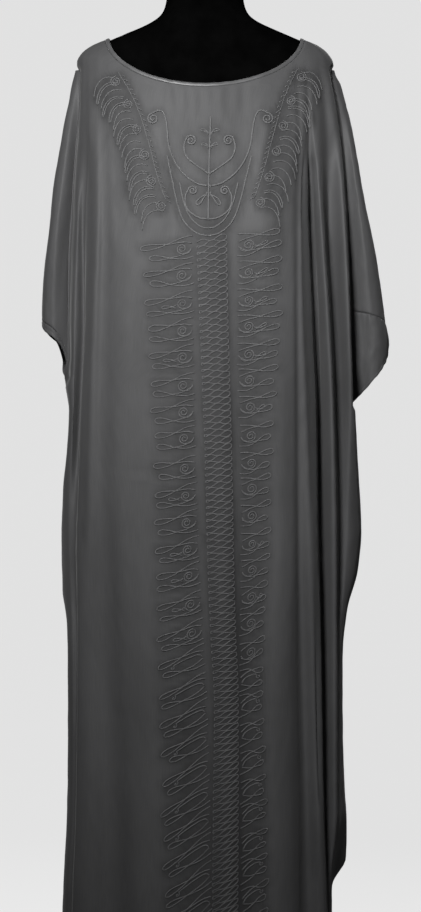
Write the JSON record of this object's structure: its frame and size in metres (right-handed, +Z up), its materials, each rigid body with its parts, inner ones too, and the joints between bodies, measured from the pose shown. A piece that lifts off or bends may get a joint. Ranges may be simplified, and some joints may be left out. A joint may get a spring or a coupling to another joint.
{
  "type": "kaftan on a dress form",
  "caption": "Full-length loose kaftan with a scoop neck and short hanging sleeves, worn by a limbless dress form on a pole and round base.",
  "frame": {"origin": "centre of the round base's underside, on the floor", "axes": "+Z up along the pole, -Y the way the garment's front faces, +X to the right as seen from the front"},
  "size_m": [0.518, 0.32, 1.56],
  "materials": {
    "cloth": "dark grey satin-backed crepe with a soft sheen",
    "binding": "dark grey bias strip, satin side out",
    "form": "black jersey over a smooth shell",
    "stand": "satin black powder coat"
  },
  "bodies": {
    "root": {"front_upper": "cloth", "front_lower": "cloth", "back_upper": "cloth", "back_lower": "cloth", "sleeve_left": "cloth", "sleeve_right": "cloth", "cuff_left": "cloth", "cuff_right": "cloth", "neck_binding": "binding", "dress_form": "form", "stand_pole": "stand", "stand_base": "stand"}
  },
  "joints": []
}
